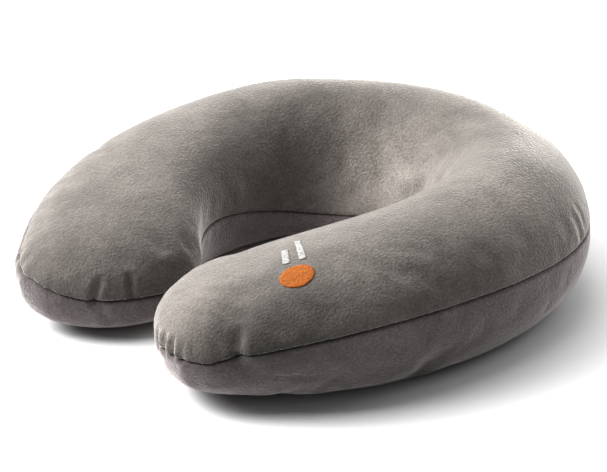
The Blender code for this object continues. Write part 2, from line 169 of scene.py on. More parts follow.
world = bpy.data.worlds.new("studio_world")
bpy.context.scene.world = world
world.use_nodes = True
world.node_tree.nodes["Background"].inputs["Color"].default_value = (1, 1, 1, 1)
world.node_tree.nodes["Background"].inputs["Strength"].default_value = WORLD_STRENGTH
bpy.context.scene.view_settings.view_transform = "Standard"
print("lights:", len(LIGHTS))

# %% [markdown]
# ## Writing a material in few lines
# A node material is a small machine: each node takes numbers in and hands numbers on. These
# helpers add a node, set its plain values and join it to what comes before, so that each finish
# below reads as a short recipe.

# %% Material helpers


def add_node(tree, kind, settings=None, **sockets):
    """Adds a node. A socket is named by its words joined with _, and takes a value or another socket."""
    node = tree.nodes.new(kind)
    for name, value in (settings or {}).items():
        setattr(node, name, value)
    for name, value in sockets.items():
        wanted = name.replace("_", " ").lower()
        socket = next(s for s in node.inputs if s.name.lower() == wanted and s.enabled)
        if isinstance(value, bpy.types.NodeSocket):
            tree.links.new(value, socket)
        else:
            socket.default_value = value
    return node


def maths(tree, operation, first, second=0.5, third=None):
    node = tree.nodes.new("ShaderNodeMath")
    node.operation = operation
    for socket, value in zip(node.inputs, (first, second, third)):
        if isinstance(value, bpy.types.NodeSocket):
            tree.links.new(value, socket)
        elif value is not None:
            socket.default_value = value
    return node.outputs[0]


def ramp(tree, value, low, high, to_low=0.0, to_high=1.0):
    """Maps a value from low-high to other limits, and holds it between them."""
    node = add_node(
        tree, "ShaderNodeMapRange", {"clamp": True}, Value=value, From_Min=low, From_Max=high,
        To_Min=to_low, To_Max=to_high,
    )
    return node.outputs[0]


def mixed(tree, share, first, second, blend="MIX"):
    """Mixes two colours."""
    node = tree.nodes.new("ShaderNodeMix")
    node.data_type = "RGBA"
    node.blend_type = blend
    for index, value in ((0, share), (6, first), (7, second)):
        if isinstance(value, bpy.types.NodeSocket):
            tree.links.new(value, node.inputs[index])
        else:
            node.inputs[index].default_value = value
    return node.outputs[2]


def stretched(tree, scale, turn=(0, 0, 0)):
    """Object coordinates, stretched and turned."""
    place = tree.nodes.new("ShaderNodeTexCoord")
    node = add_node(tree, "ShaderNodeMapping", Vector=place.outputs["Object"], Rotation=turn, Scale=scale)
    return node.outputs[0]


def new_material(name, metallic=0.0, **shader_values):
    """A material with its Principled shader, and the shader's plain values set on its own sockets."""
    material = bpy.data.materials.new(name)
    material.use_nodes = True
    shader = material.node_tree.nodes["Principled BSDF"]
    shader.inputs["Metallic"].default_value = metallic
    for socket, value in shader_values.items():
        shader.inputs[socket.replace("_", " ")].default_value = value
    return material, material.node_tree, shader


def bumped(tree, shader, *layers):
    """Layers of (height, strength, distance) joined into the shader's normal."""
    normal = None
    for height, strength, distance in layers:
        node = add_node(tree, "ShaderNodeBump", Height=height, Strength=strength, Distance=distance)
        if normal:
            tree.links.new(normal, node.inputs["Normal"])
        normal = node.outputs[0]
    tree.links.new(normal, shader.inputs["Normal"])


def new_group(name, inputs, outputs):
    """A shader node group, with its (socket name, kind, start value) inputs and (name, kind) outputs."""
    group = bpy.data.node_groups.new(name, "ShaderNodeTree")
    for title, kind, value in inputs:
        socket = group.interface.new_socket(title, in_out="INPUT", socket_type=kind)
        if value is not None:
            socket.default_value = value
    for title, kind in outputs:
        group.interface.new_socket(title, in_out="OUTPUT", socket_type=kind)
    return group, group.nodes.new("NodeGroupInput"), group.nodes.new("NodeGroupOutput")


def place_group(tree, group, **sockets):
    return add_node(tree, "ShaderNodeGroup", {"node_tree": group}, **sockets)


def rgb(red, green, blue):
    return (red, green, blue, 1.0)


print("material helpers are ready")

# %% [markdown]
# ## The short pile of velour
# Velour is a knit whose loops are sheared to a pile one or two millimetres long. Close to, it is
# rows of tiny tufts that lie in one direction. From further off, the pile has been brushed one
# way here and another there, which makes soft lighter and darker patches. One node group holds
# all three scales, so that both panels and the printed mark share the same cloth.

# %% Pile group
pile_group, pile_in, pile_out = new_group(
    "short_pile",
    [("Vector", "NodeSocketVector", None), ("Patch Size", "NodeSocketFloat", 22.0)],
    [("Brushed", "NodeSocketFloat"), ("Tuft", "NodeSocketFloat"), ("Height", "NodeSocketFloat")],
)
pile_vector = pile_in.outputs["Vector"]
patches = add_node(
    pile_group, "ShaderNodeTexNoise", Vector=pile_vector, Scale=pile_in.outputs["Patch Size"],
    Detail=4.0, Roughness=0.55, Distortion=0.8,
)
mottle = add_node(
    pile_group, "ShaderNodeTexNoise", Vector=pile_vector, Scale=110.0, Detail=3.0, Roughness=0.6
)
brushed = maths(
    pile_group, "ADD",
    ramp(pile_group, patches.outputs[0], 0.32, 0.68, 0.0, 0.65),
    ramp(pile_group, mottle.outputs[0], 0.3, 0.7, 0.0, 0.35),
)
lay = add_node(
    pile_group, "ShaderNodeMapping", Vector=pile_vector, Rotation=(0.5, 0.35, 0.7), Scale=(1.0, 0.85, 1.0)
)
streaks = add_node(
    pile_group, "ShaderNodeTexNoise", Vector=lay.outputs[0], Scale=820.0, Detail=1.0, Roughness=0.5,
)
tufts = add_node(
    pile_group, "ShaderNodeTexVoronoi", {"feature": "F1"}, Vector=lay.outputs[0], Scale=760.0
)
tuft_height = maths(pile_group, "SUBTRACT", 1.0, tufts.outputs["Distance"])
height = maths(
    pile_group, "ADD",
    maths(pile_group, "MULTIPLY", ramp(pile_group, streaks.outputs[0], 0.3, 0.7), 0.45),
    maths(pile_group, "MULTIPLY", tuft_height, 0.55),
)
pile_group.links.new(brushed, pile_out.inputs["Brushed"])
pile_group.links.new(ramp(pile_group, height, 0.3, 0.85), pile_out.inputs["Tuft"])
pile_group.links.new(height, pile_out.inputs["Height"])
print("nodes in the pile group:", len(pile_group.nodes))

# %% [markdown]
# ## Velour for the two panels
# The shader's sheen gives velour its pale rims. The colour goes darker where the pile is parted.
# Along the seam the colour is painted darker, as painted shade of the seam's groove. Patches of
# painted light and painted shade make some places paler and others darker. Both come from
# attributes on the mesh, so they follow the cloth wherever it runs.

# %% Plush materials


def plush(name, deep, pale, tint):
    material, tree, shader = new_material(
        name, Roughness=0.95, Sheen_Weight=1.0, Sheen_Roughness=0.33, Sheen_Tint=tint,
        Specular_IOR_Level=0.15,
    )
    place = tree.nodes.new("ShaderNodeTexCoord").outputs["Object"]
    pile = place_group(tree, pile_group, Vector=place, Patch_Size=22.0)
    painted_seam_shade = add_node(tree, "ShaderNodeAttribute", {"attribute_name": "painted_seam_shade"}).outputs["Fac"]
    colour = mixed(tree, pile.outputs["Brushed"], deep, pale)
    tufted = ramp(tree, pile.outputs["Tuft"], 0.0, 1.0, 0.72, 1.12)
    painted_patches = add_node(tree, "ShaderNodeAttribute", {"attribute_name": "light_and_shade_patches"}).outputs["Fac"]
    # painted shade: the colour is darkened towards the seam's groove, down to 0.7 at the edge
    shade = maths(tree, "MULTIPLY", tufted, ramp(tree, painted_seam_shade, 0.0, 1.0, 1.0, 0.7))
    # painted light and shade: the listed patches raise or lower the colour
    shade = maths(tree, "MULTIPLY", shade, maths(tree, "ADD", 1.0, painted_patches))
    grey = add_node(tree, "ShaderNodeCombineColor", Red=shade, Green=shade, Blue=shade).outputs[0]
    tree.links.new(mixed(tree, 1.0, colour, grey, "MULTIPLY"), shader.inputs["Base Color"])
    bumped(
        tree, shader,
        (pile.outputs["Brushed"], 0.1, 0.002),
        (pile.outputs["Height"], 0.9, 0.0004),
    )
    return material


PLUSH_UPPER = plush(
    "velour_upper", rgb(0.054, 0.048, 0.043), rgb(0.108, 0.096, 0.087), rgb(0.95, 0.90, 0.84)
)
PLUSH_LOWER = plush(
    "velour_lower", rgb(0.068, 0.058, 0.057), rgb(0.114, 0.098, 0.097), rgb(0.93, 0.86, 0.85)
)
print("plush materials:", PLUSH_UPPER.name, PLUSH_LOWER.name)

# %% [markdown]
# ## The other finishes
# Knit, foam, woven tape, nylon, cast metal, printed ink and the studio floor. Each has its own
# small-scale detail: ribs, open cells, a plain weave, a moulded skin, or fine tumbling scratches.

# %% Cloth, foam and floor materials


def woven(name, dark, light, threads, ribs, sheen=0.2):
    """Cloth of crossing threads, so many to the metre across and along."""
    material, tree, shader = new_material(name, Roughness=0.9, Sheen_Weight=sheen)
    coords = stretched(tree, (threads, threads, threads * ribs))
    first = add_node(
        tree, "ShaderNodeTexWave", {"bands_direction": "Z"}, Vector=coords, Scale=0.16, Distortion=0.4
    )
    second = add_node(tree, "ShaderNodeTexWave", {"bands_direction": "DIAGONAL"}, Vector=coords, Scale=0.16)
    height = maths(tree, "MULTIPLY", first.outputs["Fac"], second.outputs["Fac"])
    fuzz = add_node(tree, "ShaderNodeTexNoise", Vector=coords, Scale=0.3, Detail=3.0)
    share = maths(tree, "MULTIPLY_ADD", height, 0.6, maths(tree, "MULTIPLY", fuzz.outputs[0], 0.4))
    tree.links.new(mixed(tree, share, dark, light), shader.inputs["Base Color"])
    bumped(tree, shader, (share, 0.8, 0.0003))
    return material


def foam():
    """Open cells over a soft mottle."""
    material, tree, shader = new_material("moulded_foam", Roughness=0.95, Subsurface_Weight=0.1)
    shader.inputs["Subsurface Radius"].default_value = (0.004, 0.003, 0.002)
    cells = add_node(
        tree, "ShaderNodeTexVoronoi", {"feature": "F1"}, Vector=stretched(tree, (1, 1, 1)), Scale=420.0
    )
    mottle = add_node(tree, "ShaderNodeTexNoise", Vector=stretched(tree, (1, 1, 1)), Scale=18.0, Detail=4.0)
    yellow = mixed(tree, mottle.outputs[0], rgb(0.72, 0.62, 0.40), rgb(0.84, 0.77, 0.56))
    dots = ramp(tree, cells.outputs["Distance"], 0.1, 0.5)
    tree.links.new(mixed(tree, dots, rgb(0.5, 0.4, 0.22), yellow), shader.inputs["Base Color"])
    bumped(tree, shader, (dots, 0.6, 0.0005))
    return material


def pale_floor():
    material, tree, shader = new_material("pale_floor", Roughness=0.75, Specular_IOR_Level=0.2)
    grain = add_node(tree, "ShaderNodeTexNoise", Vector=stretched(tree, (1, 1, 1)), Scale=6.0, Detail=3.0)
    shades = mixed(tree, grain.outputs[0], rgb(0.60, 0.60, 0.60), rgb(0.63, 0.63, 0.63))
    tree.links.new(shades, shader.inputs["Base Color"])
    return material


KNIT = woven("liner_knit", rgb(0.52, 0.51, 0.47), rgb(0.80, 0.79, 0.75), 3000, 0.6)
TAPE = woven("zip_tape_cloth", rgb(0.035, 0.032, 0.031), rgb(0.105, 0.098, 0.094), 7000, 1.4)
FOAM = foam()
floor.data.materials.append(pale_floor())
print("cloth and foam are ready")

# %% Nylon, metal and ink materials
wear_group, wear_in, wear_out = new_group(
    "fine_wear",
    [("Vector", "NodeSocketVector", None), ("Grain", "NodeSocketFloat", 900.0)],
    [("Mask", "NodeSocketFloat"), ("Height", "NodeSocketFloat")],
)
wear_vector = wear_in.outputs["Vector"]
scuff = add_node(
    wear_group, "ShaderNodeTexNoise", Vector=wear_vector, Scale=240.0, Detail=4.0, Roughness=0.7
)
fine = add_node(
    wear_group, "ShaderNodeTexNoise", Vector=wear_vector, Scale=wear_in.outputs["Grain"], Detail=2.0
)
wear_group.links.new(ramp(wear_group, scuff.outputs[0], 0.35, 0.65), wear_out.inputs["Mask"])
wear_group.links.new(fine.outputs[0], wear_out.inputs["Height"])


def hard(name, metallic, dark, light, rough, grain, bump, coat=0.0):
    """Metal or nylon: two shades and two roughnesses mixed by the wear group."""
    material, tree, shader = new_material(name, metallic, Coat_Weight=coat)
    place = tree.nodes.new("ShaderNodeTexCoord").outputs["Object"]
    worn = place_group(tree, wear_group, Vector=place, Grain=grain)
    mask = worn.outputs["Mask"]
    tree.links.new(mixed(tree, mask, dark, light), shader.inputs["Base Color"])
    tree.links.new(ramp(tree, mask, 0.0, 1.0, rough + 0.16, rough), shader.inputs["Roughness"])
    bumped(tree, shader, (worn.outputs["Height"], bump, 0.0001))
    return material


def ink(name, dark, light):
    """Printed ink that has sunk into the pile, so tufts show through and break its edges."""
    material, tree, shader = new_material(name, Roughness=0.72, Specular_IOR_Level=0.12)
    place = tree.nodes.new("ShaderNodeTexCoord").outputs["Object"]
    pile = place_group(tree, pile_group, Vector=place, Patch_Size=90.0)
    tree.links.new(mixed(tree, pile.outputs["Tuft"], dark, light), shader.inputs["Base Color"])
    bumped(tree, shader, (pile.outputs["Height"], 0.7, 0.0004))
    return material


METAL = hard("zip_nickel", 1.0, rgb(0.40, 0.39, 0.38), rgb(0.56, 0.55, 0.54), 0.24, 2500, 0.15)
NYLON = hard("zip_nylon", 0.0, rgb(0.030, 0.028, 0.027), rgb(0.065, 0.060, 0.058), 0.34, 4000, 0.2, 0.1)
ORANGE_INK = ink("orange_ink", rgb(0.150, 0.036, 0.0), rgb(0.250, 0.062, 0.0))
WHITE_INK = ink("white_ink", rgb(0.14, 0.136, 0.130), rgb(0.30, 0.292, 0.285))
print("materials so far:", len(bpy.data.materials))

# %% [markdown]
# ## The form of the pillow
# On the real pillow two flat U-shaped panels are sewn together and stuffed. The stuffed form is
# easiest to describe by sections: a mid-line runs round the U as an arc at the back and a flatter
# arc along each arm, and a soft rounded section stands across it everywhere. Three sizes of each
# measure, at the back, half way along the arm and at the tip, are blended smoothly between.

# %% Sizes of the form
BACK_RADIUS = 0.104
BACK_SWEEP = radians(79.5)
ARM_RADIUS = 0.146
ARM_SWEEP = radians(60.7)
EVEN_SWEEP = radians(38)  # the section is the same this far round the back
TIP_REACH = 0.0381
HALF_WIDTH = (0.0457, 0.0467, 0.0529)
CROWN_RISE = (0.0458, 0.0350, 0.0286)
SEAM_HEIGHT = (0.0430, 0.0467, 0.0298)  # on the outer side
NECK_SEAM_HEIGHT = (0.0180, 0.0310, SEAM_HEIGHT[2])
BELLY_PRESS = (0.0030, 0.0052, -0.0007)
CROWN_LEAN = (-0.0028, 0.0016, -0.0057)
OUTER_SWELLS = ((0.0012, 0.10, 0.18), (-0.0007, 0.45, 0.20), (0.0020, 0.80, 0.15))
CROWN_SWELLS = ((0.0022, 0.20, 0.20), (0.0010, 0.70, 0.20))
SETTLE_SHARE = 0.12  # swells start this far along
OUTER_FULLNESS = 1.80
ARM_EXTRA_FULLNESS = (0.09, 0.6, 0.25)  # how much, its place along the arm, its spread
TIP_EXTRA_FULLNESS = 0.8  # at the very end of a tip
TIP_FALL = 0.28  # slope of the crown where the tip begins
LEFT_TIP_DROP = 0.005  # how far the seam dips round the left tip
DROP_REACH = 0.012
LEFT_SEAM_RISE = 0.009  # how far it rises on the outside, just before that tip
RISE_OUT = 0.040  # the rise is whole this far out from the mid-line
RISE_SHARE = 0.9  # its place along the arm
RISE_SPREAD = 0.2
NECK_FULLNESS = (2.05, 2.80, 2.78)
BELLY_FULLNESS = 2.44

BACK_LENGTH = BACK_RADIUS * BACK_SWEEP
MID_LENGTH = BACK_LENGTH + ARM_RADIUS * ARM_SWEEP
EVEN_LENGTH = BACK_RADIUS * EVEN_SWEEP
ARM_CENTRE = Vector((sin(BACK_SWEEP), cos(BACK_SWEEP))) * (BACK_RADIUS - ARM_RADIUS)
ZIP_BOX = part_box("zip_tape_upper")
WALL_RADIUS = 0.150  # from the middle of the zip's circle to the wall of the back
ZIP_SEAM = (ZIP_BOX[0].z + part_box("zip_tape_lower")[1].z) / 2
CENTRE_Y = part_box("cover_top_panel")[1].y - WALL_RADIUS
RING_CENTRE = Vector((0, CENTRE_Y, ZIP_SEAM))
print("mid-line of one half, mm:", round(1000 * MID_LENGTH, 1))
print("middle of the zip's circle, mm:", [round(1000 * value, 2) for value in RING_CENTRE])

# %% Sections along the mid-line
Section = namedtuple("Section", "base out width rise seam depth fullness lean fall drop")


def share_at(distance):
    return np.clip((distance - EVEN_LENGTH) / (MID_LENGTH - EVEN_LENGTH), 0.0, 1.0)


def eased(values, share):
    """Passes its start, middle and tip value at a share of 0, 1/2 and 1."""
    start, middle, tip = values
    square = 8 * (middle - start) - (tip - start)
    cube = 2 * (tip - start) - 8 * (middle - start)
    return start + square * share**2 + cube * share**3


def swelling(swells, share):
    """Sum of gentle swells, each (height, place, spread), that leave the back as it is."""
    settle = 1 - np.exp(-((share / SETTLE_SHARE) ** 2))
    return sum(tall * np.exp(-(((share - at) / spread) ** 2)) for tall, at, spread in swells) * settle


def mid_point(distance):
    """Point of the right half's mid-line and the direction away from the neck."""
    if distance <= BACK_LENGTH:
        turn = distance / BACK_RADIUS
        out = Vector((sin(turn), cos(turn)))
        return out * BACK_RADIUS, out
    turn = BACK_SWEEP + (distance - BACK_LENGTH) / ARM_RADIUS
    out = Vector((sin(turn), cos(turn)))
    return ARM_CENTRE + out * ARM_RADIUS, out


def wall_section(distance, side):
    base, out = mid_point(distance)
    share = float(share_at(distance))
    width, fullness = eased(HALF_WIDTH, share), eased(NECK_FULLNESS, share)
    if side > 0:
        width += swelling(OUTER_SWELLS, share)
        extra, at, spread = ARM_EXTRA_FULLNESS
        fullness = OUTER_FULLNESS + extra * np.exp(-(((share - at) / spread) ** 2))
    crown = eased(SEAM_HEIGHT, share) + eased(CROWN_RISE, share) + swelling(CROWN_SWELLS, share)
    seam = eased(SEAM_HEIGHT if side > 0 else NECK_SEAM_HEIGHT, share)
    lean = out * eased(CROWN_LEAN, share) * (1 - share**6)
    press = eased(BELLY_PRESS, share)
    return Section(base, out * side, width, crown - seam, seam, seam + press, fullness, lean, 0.0, 0.0)


def seam_drop(onward):
    """How far the left tip's seam has dipped, this far past the end of the mid-line."""
    return LEFT_TIP_DROP * (1 - np.exp(-((np.maximum(onward, 0) / DROP_REACH) ** 2)))


def tip_section(turn):
    end = wall_section(MID_LENGTH, 1)
    onward = Vector((end.out.y, -end.out.x))
    slant = ((cos(turn) / end.width) ** 2 + (sin(turn) / TIP_REACH) ** 2) ** -0.5
    fullness = end.fullness + (NECK_FULLNESS[2] - end.fullness) * turn / pi
    return end._replace(
        out=end.out * cos(turn) + onward * sin(turn),
        width=slant,
        fullness=fullness + TIP_EXTRA_FULLNESS * sin(turn),
        fall=TIP_FALL * sin(turn),
        drop=seam_drop(slant * sin(turn)),
    )


def right_section(step, steps):
    """Section at this step along the outer wall, round the tip, and back along the neck side."""
    wall = steps * 9 // 20  # which leaves a tenth of the steps for the tip
    if step <= wall:
        return wall_section(MID_LENGTH * step / wall, 1)
    if step < steps - wall:
        return tip_section(pi * (step - wall) / (steps - 2 * wall))
    return wall_section(MID_LENGTH * (steps - step) / wall, -1)


def skin_point(section, over, inset, side):
    """Point of the section, from the crown at over 0 past the seam at 1/2 to the belly at 1."""
    turn = pi / 2 - pi * over
    above = turn >= 0
    power = 2 / (section.fullness if above else BELLY_FULLNESS)
    across = max(0.0, cos(turn)) ** power if 0 < over < 1 else 0.0
    up = abs(sin(turn)) ** power
    place = section.base + section.out * (section.width - inset) * across
    if above:
        place = place + section.lean * up
        height = section.seam + (section.rise - inset - section.fall * section.width * across) * up
    else:
        height = section.seam - (section.depth - inset) * up
    if side < 0:
        height -= section.drop * (1 - abs(2 * over - 1))
    return place, max(height, inset)


ROUND_STEPS = 100  # of each half
OVER_STEPS = 44
print("cells of the skin:", 2 * ROUND_STEPS * OVER_STEPS)

# %% Skin of the whole pillow


def pillow_skin(inset):
    """A flat grid wrapped round the U: the long side round the outline, the short side over the section."""
    bm = bmesh.new()
    bmesh.ops.create_grid(bm, x_segments=2 * ROUND_STEPS, y_segments=OVER_STEPS, size=0.5)
    sections = [right_section(step, ROUND_STEPS) for step in range(ROUND_STEPS + 1)]
    for vert in bm.verts:
        step = round((vert.co.x + 0.5) * 2 * ROUND_STEPS)
        over = round((vert.co.y + 0.5) * OVER_STEPS) / OVER_STEPS
        half = min(step, 2 * ROUND_STEPS - step)
        side = 1 if step <= ROUND_STEPS else -1
        place, height = skin_point(sections[half], over, inset, side)
        vert.co = (place.x * side, place.y + CENTRE_Y, height)
    bmesh.ops.remove_doubles(bm, verts=bm.verts, dist=1e-6)
    bmesh.ops.recalc_face_normals(bm, faces=bm.faces)
    return bm


skin = new_object("plush_form", mesh_of("plush_form", pillow_skin(0.0)))
print("skin before stuffing:", len(skin.data.vertices), "points")

# %% [markdown]
# ## Finding the seam from a point
# Cloth simulation moves points freely, so later steps need to ask a point where it is on the
# pillow: how far along the mid-line, how far out from it, and how high above the seam. The two
# arcs make this a matter of two angles, worked out for all points at once.

# %% Places on the pillow
SLOT_HALF_ANGLE = radians(36)
SLOT_TAPER = radians(1.5)
SLOT_HALF_HEIGHT = 0.0046
SEAM_GAP = 0.00006
Places = namedtuple("Places", "along out away seam edge")


def places_of(points):
    """For each point: how far along the mid-line and out from it, which way out, and the seam's height."""
    x, y = np.abs(points[:, 0]), points[:, 1] - CENTRE_Y
    turn = np.arctan2(x, y)
    arm_x, arm_y = x - ARM_CENTRE.x, y - ARM_CENTRE.y
    on_back = turn <= BACK_SWEEP
    arm_turn = np.minimum(np.arctan2(arm_x, arm_y), BACK_SWEEP + ARM_SWEEP)
    angle = np.where(on_back, turn, arm_turn)
    along = np.where(on_back, BACK_RADIUS * turn, BACK_LENGTH + ARM_RADIUS * (arm_turn - BACK_SWEEP))
    base_x = np.where(on_back, BACK_RADIUS * np.sin(angle), ARM_CENTRE.x + ARM_RADIUS * np.sin(angle))
    base_y = np.where(on_back, BACK_RADIUS * np.cos(angle), ARM_CENTRE.y + ARM_RADIUS * np.cos(angle))
    away = np.stack([x - base_x, y - base_y], axis=1)
    out = away[:, 0] * np.sin(angle) + away[:, 1] * np.cos(angle)
    onward = away[:, 0] * np.cos(angle) - away[:, 1] * np.sin(angle)
    away /= np.maximum(np.linalg.norm(away, axis=1, keepdims=True), 1e-9)
    away[:, 0] *= np.where(points[:, 0] < 0, -1, 1)
    into_slot = np.clip((SLOT_HALF_ANGLE + SLOT_TAPER - turn) / SLOT_TAPER, 0, 1) * (out > 0)
    edge = SEAM_GAP + (SLOT_HALF_HEIGHT - SEAM_GAP) * into_slot
    share = share_at(along)
    seam = np.where(out > 0, eased(SEAM_HEIGHT, share), eased(NECK_SEAM_HEIGHT, share))
    outside = np.clip(out / RISE_OUT, 0, 1) ** 2
    rise = LEFT_SEAM_RISE * outside * np.exp(-(((share - RISE_SHARE) / RISE_SPREAD) ** 2))
    seam += np.where(points[:, 0] < 0, rise - seam_drop(onward), 0)
    return Places(along, out, away, seam, edge)


def points_of(mesh):
    flat = np.empty(3 * len(mesh.vertices))
    mesh.vertices.foreach_get("co", flat)
    return flat.reshape(-1, 3)


def put_points(mesh, points):
    mesh.vertices.foreach_set("co", points.ravel())
    mesh.update()


def normals_of(mesh):
    flat = np.empty(3 * len(mesh.vertices))
    mesh.vertices.foreach_get("normal", flat)
    return flat.reshape(-1, 3)


print("seam height at the tip, mm:", round(1000 * float(eased(SEAM_HEIGHT, 1.0)), 1))

# %% [markdown]
# ## Stuffing the cover
# The skin is turned into even cells by a voxel remesh, so the cloth has no direction that is
# stiffer than another. The Cloth modifier then blows it up gently with no gravity. The seam is
# pinned, because sewing holds it short, and the cloth beside it at the tips is given slack: it
# has more length than the seam has, so it buckles into the little gathers that a curved seam
# always shows. The plain growth is taken back out afterwards, so the pillow keeps its size.

# %% Stuffing
VOXEL = 0.0036
FRAMES = 20
PRESSURE = 4.0
MOST_MOVE = 0.006
KEPT_GROWTH = 0.15  # of the smooth part of the movement
GROWTH_ROUNDS = 24  # of averaging, to find that smooth part
PINNED_BAND = 0.6 * VOXEL
SLACK_START = 0.030  # before the end of the mid-line
SLACK_EASE = 0.020
SLACK_BAND = 0.012  # to either side of the seam


def bake(obj):
    """Puts the modifiers' result into the mesh."""
    graph = bpy.context.evaluated_depsgraph_get()
    mesh = bpy.data.meshes.new_from_object(obj.evaluated_get(graph))
    obj.modifiers.clear()
    obj.data = mesh


def remesh(obj, size):
    modifier = obj.modifiers.new("Even cells", "REMESH")
    modifier.mode = "VOXEL"
    modifier.voxel_size = size
    bake(obj)


def smoothed(values, edges, rounds):
    """Each point's value averaged with its neighbours', a number of times."""
    count = np.bincount(edges.ravel(), minlength=len(values))[:, None]
    for _ in range(rounds):
        total = np.zeros_like(values)
        for axis in range(values.shape[1]):
            total[:, axis] = np.bincount(edges[:, 0], values[edges[:, 1], axis], len(values))
            total[:, axis] += np.bincount(edges[:, 1], values[edges[:, 0], axis], len(values))
        values = 0.5 * values + 0.5 * total / count
    return values


def edges_of(mesh):
    flat = np.empty(2 * len(mesh.edges), np.int32)
    mesh.edges.foreach_get("vertices", flat)
    return flat.reshape(-1, 2)


def vertex_group(obj, name, weights):
    group = obj.vertex_groups.new(name=name)
    for level in range(1, 11):
        chosen = np.nonzero(np.round(weights * 10) == level)[0]
        group.add(chosen.tolist(), level / 10, "REPLACE")


def stuff(obj):
    start = points_of(obj.data)
    places = places_of(start)
    from_seam = np.abs(start[:, 2] - places.seam)
    at_tip = np.clip((places.along - MID_LENGTH + SLACK_START) / SLACK_EASE, 0, 1)
    vertex_group(obj, "sewn", (from_seam < PINNED_BAND).astype(float))
    vertex_group(obj, "slack", at_tip * np.exp(-((from_seam / SLACK_BAND) ** 2)))
    modifier = obj.modifiers.new("Stuffing", "CLOTH")
    cloth = modifier.settings
    cloth.quality = 6
    cloth.mass = 0.15
    cloth.tension_stiffness = 18
    cloth.compression_stiffness = 18
    cloth.shear_stiffness = 6
    cloth.bending_stiffness = 0.08
    cloth.use_pressure = True
    cloth.uniform_pressure_force = PRESSURE
    cloth.effector_weights.gravity = 0
    cloth.vertex_group_mass = "sewn"
    cloth.shrink_min = -0.01
    cloth.shrink_max = -0.10
    cloth.vertex_group_shrink = "slack"
    modifier.point_cache.frame_start = 1
    modifier.point_cache.frame_end = FRAMES
    for step in range(1, FRAMES + 1):
        bpy.context.scene.frame_set(step)
    bake(obj)
    bpy.context.scene.frame_set(1)
    edges = edges_of(obj.data)
    moved = points_of(obj.data) - start
    moved -= (1 - KEPT_GROWTH) * smoothed(moved, edges, GROWTH_ROUNDS)
    length = np.linalg.norm(moved, axis=1, keepdims=True)
    moved *= np.minimum(1, MOST_MOVE / np.maximum(length, 1e-9))
    put_points(obj.data, start + smoothed(moved, edges, 1))
    print("stuffing moved the cloth by up to", round(1000 * float(length.max()), 1), "mm")


remesh(skin, VOXEL)
stuff(skin)
subdivision = skin.modifiers.new("Finer cloth", "SUBSURF")
subdivision.levels = subdivision.render_levels = 1
bake(skin)
print("stuffed skin:", len(skin.data.polygons), "faces")

# %% [markdown]
# ## Folds
# Stuffing alone can't know how this pillow was last squeezed. A few listed folds are pressed in:
# each is a short line on the surface with a width and a depth, a rounded valley with a
# soft ridge on either side, and it fades out at both ends.

# %% Folds
Fold = namedtuple("Fold", "start end width depth ridge")
FOLDS = (  # ends in mm, width and depth in mm, share of the depth that stands up beside it
    Fold((-27.5, -141.5, 24.0), (-26.0, -137.0, 37.5), 2.2, 3.0, 0.25),
    Fold((-14.5, -123.5, 27.0), (-17.0, -123.0, 38.5), 2.0, 2.4, 0.30),
    Fold((-25.0, -138.5, 24.0), (-25.5, -134.0, 13.0), 2.8, 1.4, 0.30),
    Fold((-49.0, -151.0, 27.0), (-50.0, -149.0, 36.0), 2.6, 0.8, 0.30),
    Fold((-14.1, -96.6, 46.8), (-8.9, -100.6, 35.6), 1.2, 0.9, 0.50),
    Fold((-73.0, -154.0, 30.0), (-72.0, -150.0, 40.0), 3.0, 0.9, 0.30),
    Fold((-84.0, -152.0, 31.0), (-82.0, -148.0, 41.0), 2.6, 0.8, 0.30),
    Fold((48.5, -155.0, 30.5), (46.5, -153.0, 36.0), 2.0, 1.6, 0.40),
    Fold((56.5, -158.0, 30.5), (55.5, -155.5, 37.5), 2.1, 2.0, 0.40),
    Fold((64.5, -158.8, 30.5), (63.0, -156.0, 37.5), 2.0, 2.0, 0.40),
    Fold((72.0, -157.8, 30.5), (70.5, -155.0, 37.0), 1.9, 1.5, 0.40),
    Fold((95.0, -144.0, 34.0), (80.0, -128.0, 55.0), 10.0, 3.7, 0.12),
    Fold((96.5, -142.0, 34.0), (91.0, -137.0, 46.0), 3.4, 2.2, 0.30),
    Fold((97.0, -140.0, 33.0), (100.0, -134.0, 25.0), 4.0, 1.8, 0.20),
    Fold((100.5, -135.0, 29.0), (108.2, -125.5, 22.9), 2.0, 0.8, 0.20),
    Fold((108.2, -125.5, 22.9), (118.1, -109.9, 20.5), 1.8, 1.0, 0.20),
    Fold((118.1, -109.9, 20.5), (128.0, -95.0, 26.0), 2.0, 0.6, 0.20),
    Fold((131.0, 71.0, 60.0), (134.0, 74.0, 49.0), 3.4, 0.6, 0.35),
    Fold((126.0, 80.0, 62.0), (129.0, 84.0, 51.0), 3.0, 0.5, 0.35),
    Fold((1.3, 66.7, 47.0), (36.0, 59.5, 68.0), 6.0, -2.0, 0.10),
    Fold((20.0, 95.0, 88.0), (37.0, 92.0, 88.5), 7.0, 1.4, 0.10),
)
RIDGE_AT = 1.7  # beside the fold's middle, in its widths
RIDGE_SPREAD = 0.6
FADE_START = 0.18  # of a half wave, so a fold is shallower at both ends
FADE_SPAN = 0.72


def press_folds(mesh, folds):
    points = points_of(mesh)
    normals = normals_of(mesh)
    push = np.zeros(len(points))
    for fold in folds:
        first, last = np.array(fold.start) / 1000, np.array(fold.end) / 1000
        span = last - first
        share = np.clip((points - first) @ span / (span @ span), 0, 1)
        away = np.linalg.norm(points - first - share[:, None] * span, axis=1) / (fold.width / 1000)
        valley = np.exp(-(away**2)) - fold.ridge * np.exp(-((away - RIDGE_AT) ** 2) / RIDGE_SPREAD)
        fade = np.sin(pi * np.clip(FADE_START + FADE_SPAN * share, 0, 1)) ** 0.5
        push -= fold.depth / 1000 * valley * fade
    put_points(mesh, points + normals * push[:, None])
    print("folds pressed in:", len(folds), "deepest", round(-1000 * float(push.min()), 2), "mm")


